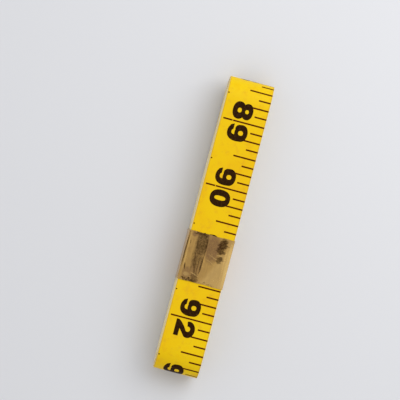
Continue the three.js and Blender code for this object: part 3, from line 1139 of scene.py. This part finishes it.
class OBJECT_OT_tape_tips(Operator):
    """Folds a metal tip over each end of the tape"""

    bl_idname = "object.tape_tips"
    bl_label = "Metal tips"

    def execute(self, context):
        tips = context.scene.tip_settings
        material = brass_material(tips)
        for node, name, ahead in (
            ("outer_end_tip", "outer_tip_shell", 1),
            ("zero_end_tip", "zero_tip_shell", -1),
        ):
            low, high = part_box(node)
            half_width = (high.y - low.y) / 2
            slot = tips.slot / 2
            outer = tip_surface(tips, half_width, slot + tips.sheet, 1)
            points, faces = shell(outer, tip_surface(tips, half_width, slot, 0))
            end_x = low.x + TIP_BEND if ahead > 0 else high.x - TIP_BEND
            middle = [end_x, (low.y + high.y) / 2, (low.z + high.z) / 2]
            points = points * [ahead, ahead, 1] + middle
            tip = make_piece(name, points, faces, material, "tape_bundle", node)
            bevel = tip.modifiers.new("edges", "BEVEL")
            bevel.width = TIP_BEVEL
            bevel.segments = 2
            bevel.limit_method = "ANGLE"
            bevel.angle_limit = math.radians(50)
        return {"FINISHED"}


# The stage

FLOOR_REACH = 4.0
# The floor lies this far under the lowest face, so that the two don't meet in one plane.
FLOOR_DROP = 0.05 * MM
KEY_PLACE = (-0.27, 0.2, 0.38)
KEY_SIZE = 0.42


def place_camera(stage, face_z):
    """A camera over the tape's face, turned in the picture and tilted about X."""
    facing = Matrix.Rotation(stage.tilt, 4, "X") @ Matrix.Rotation(stage.turn, 4, "Z")
    aim = Vector((stage.aim_x, stage.aim_y, face_z))
    data = bpy.data.cameras.new("camera")
    data.lens = data.sensor_width * stage.distance / stage.field
    camera = add_object("camera", data)
    camera.matrix_world = Matrix.Translation(aim + facing @ Vector((0, 0, stage.distance))) @ facing
    bpy.context.scene.camera = camera


def add_key_lamp(power, aim):
    """A square area lamp that looks at a point."""
    data = bpy.data.lights.new("key", "AREA")
    data.size = KEY_SIZE
    data.energy = power
    lamp = add_object("key", data)
    lamp.location = KEY_PLACE
    lamp.rotation_euler = (aim - Vector(KEY_PLACE)).to_track_quat("-Z", "Y").to_euler()


def light_world(stage):
    """Even light from all round. What the camera and glossy rays see is plain and pale."""
    nodes = Nodes(bpy.data.worlds.new("studio"))
    bpy.context.scene.world = nodes.owner
    ray = nodes.node("ShaderNodeLightPath", output="Is Camera Ray")
    seen = ray.larger(ray.other("Is Glossy Ray")).larger(ray.other("Is Transmission Ray"))
    white = {"Color": (1, 1, 1, 1), "Strength": stage.fill}
    light = nodes.node("ShaderNodeBackground", inputs=white)
    shown = nodes.node("ShaderNodeBackground", inputs={"Color": (*stage.floor, 1)})
    mixed = nodes.node("ShaderNodeMixShader", inputs={0: seen, 1: light, 2: shown})
    nodes.node("ShaderNodeOutputWorld", inputs={"Surface": mixed})


class OBJECT_OT_tape_stage(Operator):
    """Sets up the camera, the floor and the light"""

    bl_idname = "object.tape_stage"
    bl_label = "Stage"

    def execute(self, context):
        stage = context.scene.stage_settings
        face_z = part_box("tape")[1].z
        place_camera(stage, face_z)
        square = block(-FLOOR_REACH, -FLOOR_REACH, FLOOR_REACH, FLOOR_REACH)
        mesh = bpy.data.meshes.new("floor")
        mesh.from_pydata([(x, y, -FLOOR_DROP) for x, y in square], [], [(0, 1, 2, 3)])
        floor = add_object("floor", mesh)
        nodes = Nodes(bpy.data.materials.new("floor"))
        mesh.materials.append(nodes.surface(Base_Color=(*stage.floor, 1), Roughness=0.9))
        light_world(stage)
        add_key_lamp(stage.key, Vector((0, 0, face_z)))
        bpy.context.scene.view_settings.view_transform = "Standard"
        return {"FINISHED"}


# The add-on

class VIEW3D_PT_tape_measure(Panel):
    """Lists the sizes, the colours and what can be made"""

    bl_label = "Tape Measure"
    bl_idname = "VIEW3D_PT_tape_measure"
    bl_space_type = "VIEW_3D"
    bl_region_type = "UI"
    bl_category = "Tape Measure"

    def draw(self, context):
        for settings, group, *operators in GROUPS:
            box = self.layout.box()
            box.label(text=settings.__doc__)
            for key in settings.__annotations__:
                box.prop(getattr(context.scene, group), key)
            for operator in operators:
                box.operator(operator.bl_idname)


# Each group of settings, its name in the scene, and the operators that use it.
GROUPS = (
    (StageSettings, "stage_settings", OBJECT_OT_tape_stage),
    (TapeSettings, "tape_settings", OBJECT_OT_tape_ribbon),
    (PrintSettings, "print_settings", OBJECT_OT_tape_numerals, OBJECT_OT_tape_graduations),
    (BandSettings, "band_settings", OBJECT_OT_tape_band),
    (TipSettings, "tip_settings", OBJECT_OT_tape_tips),
)


def register():
    for settings, group, *operators in GROUPS:
        for made in (settings, *operators):
            bpy.utils.register_class(made)
        setattr(bpy.types.Scene, group, PointerProperty(type=settings))
    bpy.utils.register_class(VIEW3D_PT_tape_measure)


def unregister():
    bpy.utils.unregister_class(VIEW3D_PT_tape_measure)
    for settings, group, *operators in reversed(GROUPS):
        delattr(bpy.types.Scene, group)
        for made in (*operators, settings):
            bpy.utils.unregister_class(made)


def main():
    register()
    bpy.ops.object.tape_stage()
    bpy.ops.object.tape_ribbon()
    bpy.ops.object.tape_numerals()
    bpy.ops.object.tape_graduations()
    bpy.ops.object.tape_band()
    bpy.ops.object.tape_tips()


if __name__ == "__main__":
    main()
